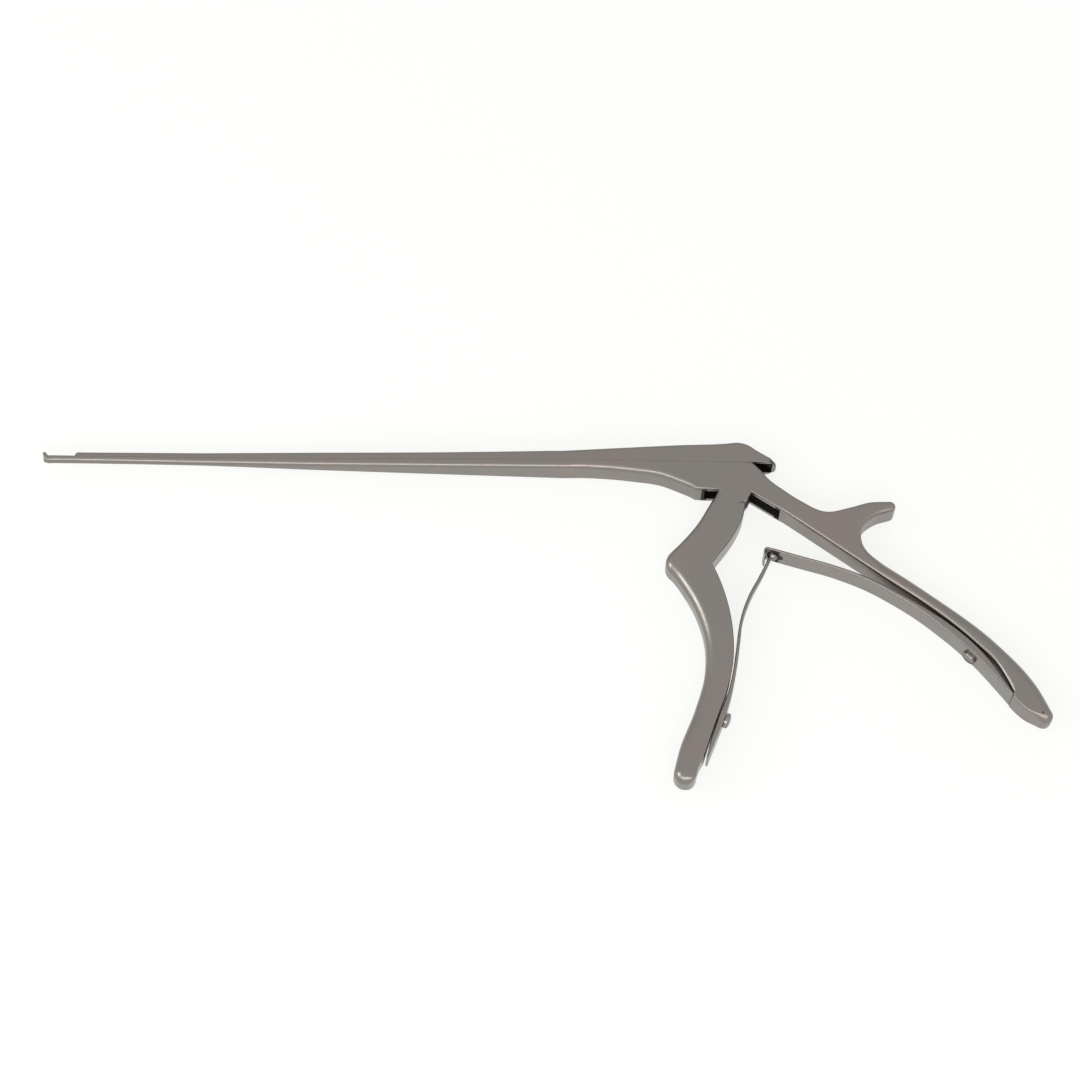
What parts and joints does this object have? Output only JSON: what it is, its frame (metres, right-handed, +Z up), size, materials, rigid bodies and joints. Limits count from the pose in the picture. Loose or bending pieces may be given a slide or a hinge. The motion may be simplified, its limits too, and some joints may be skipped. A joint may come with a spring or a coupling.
{
  "type": "kerrison rongeur",
  "caption": "Hand-held bone punch: a slide on a long slim shaft is driven against an angled footplate by squeezing two sprung handles.",
  "frame": {"origin": "pivot axis of the two handles, on the side the instrument lies on", "axes": "+X runs back along the shaft away from the jaw, +Y from the handles towards the shaft and slide, +Z up along the pivot pin"},
  "size_m": [0.2814, 0.1005, 0.009],
  "materials": {
    "satin_steel": "satin, lightly polished edges",
    "spring_steel": "fine satin",
    "pin_steel": "turned and polished"
  },
  "bodies": {
    "frame": {"shaft_and_rear_handle": "satin_steel", "pivot_pin": "pin_steel", "rear_spring_screw": "pin_steel"},
    "slide": {"upper_slide": "satin_steel", "slide_pin": "pin_steel"},
    "trigger": {"trigger_handle": "satin_steel", "front_spring_screw": "pin_steel"},
    "rear_leaf": {"rear_leaf_spring": "spring_steel"},
    "front_leaf": {"front_leaf_spring": "spring_steel"}
  },
  "joints": [
    {"name": "trigger_squeeze", "type": "hinge", "parent": "frame", "child": "trigger", "pos_m": [0, 0, 0.0045], "axis": [0, 0, 1], "range_deg": [0, 40], "stiffness_Nm_per_rad": 1.5, "springref_deg": -11.46},
    {"name": "slide_travel", "type": "slide", "parent": "frame", "child": "slide", "axis": [1, 0, 0], "range_m": [-0.0074, 0]},
    {"name": "rear_leaf_flex", "type": "hinge", "parent": "frame", "child": "rear_leaf", "pos_m": [0.043, -0.0293, 0.0045], "axis": [0, 0, 1], "range_deg": [-14.6, 0], "deforming": ["rear_leaf_spring"]},
    {"name": "front_leaf_flex", "type": "hinge", "parent": "trigger", "child": "front_leaf", "pos_m": [0.0003, -0.05, 0.0045], "axis": [0, 0, 1], "range_deg": [0, 12.4], "deforming": ["front_leaf_spring"]}
  ],
  "couplings": [
    {"joint": "slide_travel", "follows": "trigger_squeeze", "m_per_rad": -0.01059},
    {"joint": "rear_leaf_flex", "follows": "trigger_squeeze", "ratio": -0.363},
    {"joint": "front_leaf_flex", "follows": "trigger_squeeze", "ratio": 0.307}
  ]
}
